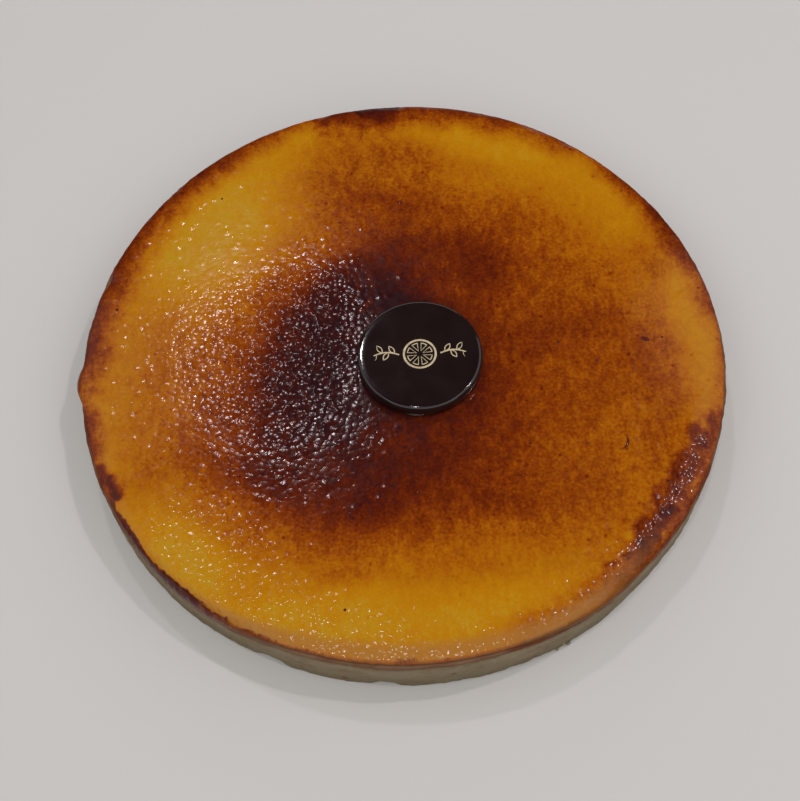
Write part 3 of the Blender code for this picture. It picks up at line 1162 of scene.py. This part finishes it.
speck_rings = [low_dome(x, y, size, SPECK_HEIGHT) for x, y, size in DARK_SPECKS + CRACK]
speck_rings += [low_dome(x, y, STRING_WIDTH * size, STRING_HEIGHT)
                for x, y, size in STRING_OF_BLISTERS]
specks_mesh = skin_stacks("caramel_specks", speck_rings)
place_piece(specks_mesh, None, speck_finish())
crumbs_mesh = skin_stacks("crumbs", [crumb(*lump) for lump in CRUMBS])
place_piece(crumbs_mesh, None, bpy.data.materials["pale_shortcrust"])

# %% [markdown]
# ## The chocolate disc
#
# The disc was moulded: a flat top with a crisp but rounded edge, and a slight dish inside the rim
# where the chocolate shrank as it set. It is a turned profile again. Its edge is rounded in many
# small steps, because it carries the one long highlight on the whole disc.

# %% Shape of the chocolate disc
DISC_TOP = disc_high.z
DISC_FOOT = disc_low.z
DISC_EDGE_ROUND = 1.3 * MM
DISC_FOOT_ROUND = 0.4 * MM
DISC_POINTS = 240
DISC_DISH = 0.12 * MM


def disc_ring(radius, height):
    """One ring of the disc, at its place on the tart."""
    ring = []
    for bearing in bearings_round(DISC_POINTS):
        uneven = 0.04 * MM * noise(around(radius, bearing, 3.0 * height) / (8.0 * MM))
        ring.append(DISC_MIDDLE + around(radius + uneven, bearing, height))
    return ring


def shape_of_disc():
    """Dished top, rounded edge, side and foot."""
    flat = DISC_RADIUS - DISC_EDGE_ROUND
    rings = [[DISC_MIDDLE + Vector((0.0, 0.0, DISC_TOP - DISC_DISH))]]
    for k in range(1, 13):
        share = k / 13.0
        height = DISC_TOP - DISC_DISH * (1.0 - smooth_step((share - 0.55) / 0.45))
        rings.append(disc_ring(flat * share, height))
    for k in range(9):
        turn = 0.5 * pi * k / 8.0
        across = flat + DISC_EDGE_ROUND * sin(turn)
        rings.append(disc_ring(across, DISC_TOP - DISC_EDGE_ROUND * (1.0 - cos(turn))))
    rings.append(disc_ring(DISC_RADIUS, DISC_FOOT + DISC_FOOT_ROUND))
    rings.append(disc_ring(DISC_RADIUS - DISC_FOOT_ROUND, DISC_FOOT - PIECE_GAP))
    rings.append([DISC_MIDDLE + Vector((0.0, 0.0, DISC_FOOT - PIECE_GAP))])
    return rings


def chocolate_finish():
    """Satin dark chocolate with a faint bloom."""
    material, tree, shader = new_finish("dark_chocolate", 0.14, 0.55)
    bloom = spread(tree, grain(tree, 11.0 * MM, 3.0), 0.35, 0.7)
    colour = colour_scale(tree, bloom, [(0.0, paint(25, 13, 12)), (1.0, paint(30, 18, 17))])
    rough = spread(tree, grain(tree, 6.0 * MM, 3.0), 0.3, 0.7, 0.07, 0.10)
    wire(tree, shader, Base_Color=colour, Roughness=rough,
         Normal=relief(tree, grain(tree, 3.0 * MM), 0.02 * MM, 0.35))
    return material


disc_mesh = skin_stacks("chocolate", [shape_of_disc()])
place_piece(disc_mesh, "chocolate_disc", chocolate_finish())

# %% [markdown]
# ## A printed motif
#
# Such discs carry a print in cocoa butter. Here it is a generic one: a slice of orange between two
# leafy sprigs, in thin cream strokes. Each stroke is a bevelled curve with an even width; the
# print is then pressed flat, because cocoa butter lies on chocolate as a film a tenth of a
# millimetre thick.

# %% Motif on the disc
STROKE = 0.34 * MM
PRINT_HEIGHT = 0.10 * MM
SLICE_RADIUS = 5.4 * MM
SLICE_SEGMENTS = 8
SPRIG_LENGTH = 8.6 * MM
STEM_ARCH = 1.1 * MM
STEM_GAP = 1.6 * MM
LEAF_LENGTH = 3.4 * MM
LEAF_BULGE = 0.75 * MM
LEAF_LEAN = 58.0


def add_stroke(data, points, closed, thickness):
    """One stroke through the points."""
    spline = data.splines.new("POLY")
    spline.points.add(len(points) - 1)
    for item, (x, y) in zip(spline.points, points):
        item.co = (x, y, 0.0, 1.0)
        item.radius = thickness
    spline.use_cyclic_u = closed


def draw_slice(data):
    """A round slice of orange: the peel and the segments inside it."""
    def at(radius, turn):
        return radius * cos(turn), radius * sin(turn)

    add_stroke(data, [at(SLICE_RADIUS, 2.0 * pi * i / 48) for i in range(48)], True, 1.15)
    half = 0.62 * pi / SLICE_SEGMENTS
    for i in range(SLICE_SEGMENTS):
        middle = 2.0 * pi * (i + 0.5) / SLICE_SEGMENTS
        arc = [at(0.78 * SLICE_RADIUS, middle + half * (0.5 * step - 1.0)) for step in range(5)]
        add_stroke(data, [at(0.22 * SLICE_RADIUS, middle)] + arc, True, 0.62)


def draw_sprig(data, side):
    """A curved stem with leaves, to the left (-1) or the right (1)."""
    def stem(share):
        return SLICE_RADIUS + STEM_GAP + SPRIG_LENGTH * share, STEM_ARCH * sin(pi * share)

    line = [stem(i / 12.0) for i in range(13)]
    add_stroke(data, [(side * x, y) for x, y in line], False, 0.85)
    leaf = [(LEAF_LENGTH * (1.0 - abs(1.0 - k / 8.0)), LEAF_BULGE * sin(pi * k / 8.0))
            for k in range(16)]
    for i, share in enumerate((0.18, 0.42, 0.66, 0.9)):
        x, y = stem(share)
        lean = radians(LEAF_LEAN if i % 2 == 0 else -LEAF_LEAN)
        add_stroke(data, [(side * (x + along * cos(lean) - bulge * sin(lean)),
                           y + along * sin(lean) + bulge * cos(lean))
                          for along, bulge in leaf], True, 0.6)


def make_motif():
    """The whole print, flattened and laid on the disc."""
    data = bpy.data.curves.new("motif_strokes", "CURVE")
    data.dimensions = "3D"
    data.bevel_depth = STROKE
    data.bevel_resolution = 2
    data.use_fill_caps = True
    draw_slice(data)
    draw_sprig(data, 1.0)
    draw_sprig(data, -1.0)
    guide = put_in_scene("motif_strokes", data)
    graph = bpy.context.evaluated_depsgraph_get()
    mesh = bpy.data.meshes.new_from_object(guide.evaluated_get(graph))
    bpy.data.objects.remove(guide, do_unlink=True)
    mesh.name = "cream_motif"
    base = DISC_TOP - DISC_DISH
    for vertex in mesh.vertices:
        flat = PRINT_HEIGHT * vertex.co.z / STROKE
        vertex.co = DISC_MIDDLE + Vector((vertex.co.x, vertex.co.y, base + flat))
    mesh.shade_smooth()
    return mesh


def motif_finish():
    """Cream cocoa butter print."""
    material, tree, shader = new_finish("cream_print", 0.45, 0.5)
    colour = two_tones(tree, 1.5 * MM, paint(168, 152, 118), paint(196, 182, 148))
    wire(tree, shader, Base_Color=colour)
    return material


place_piece(make_motif(), None, motif_finish())
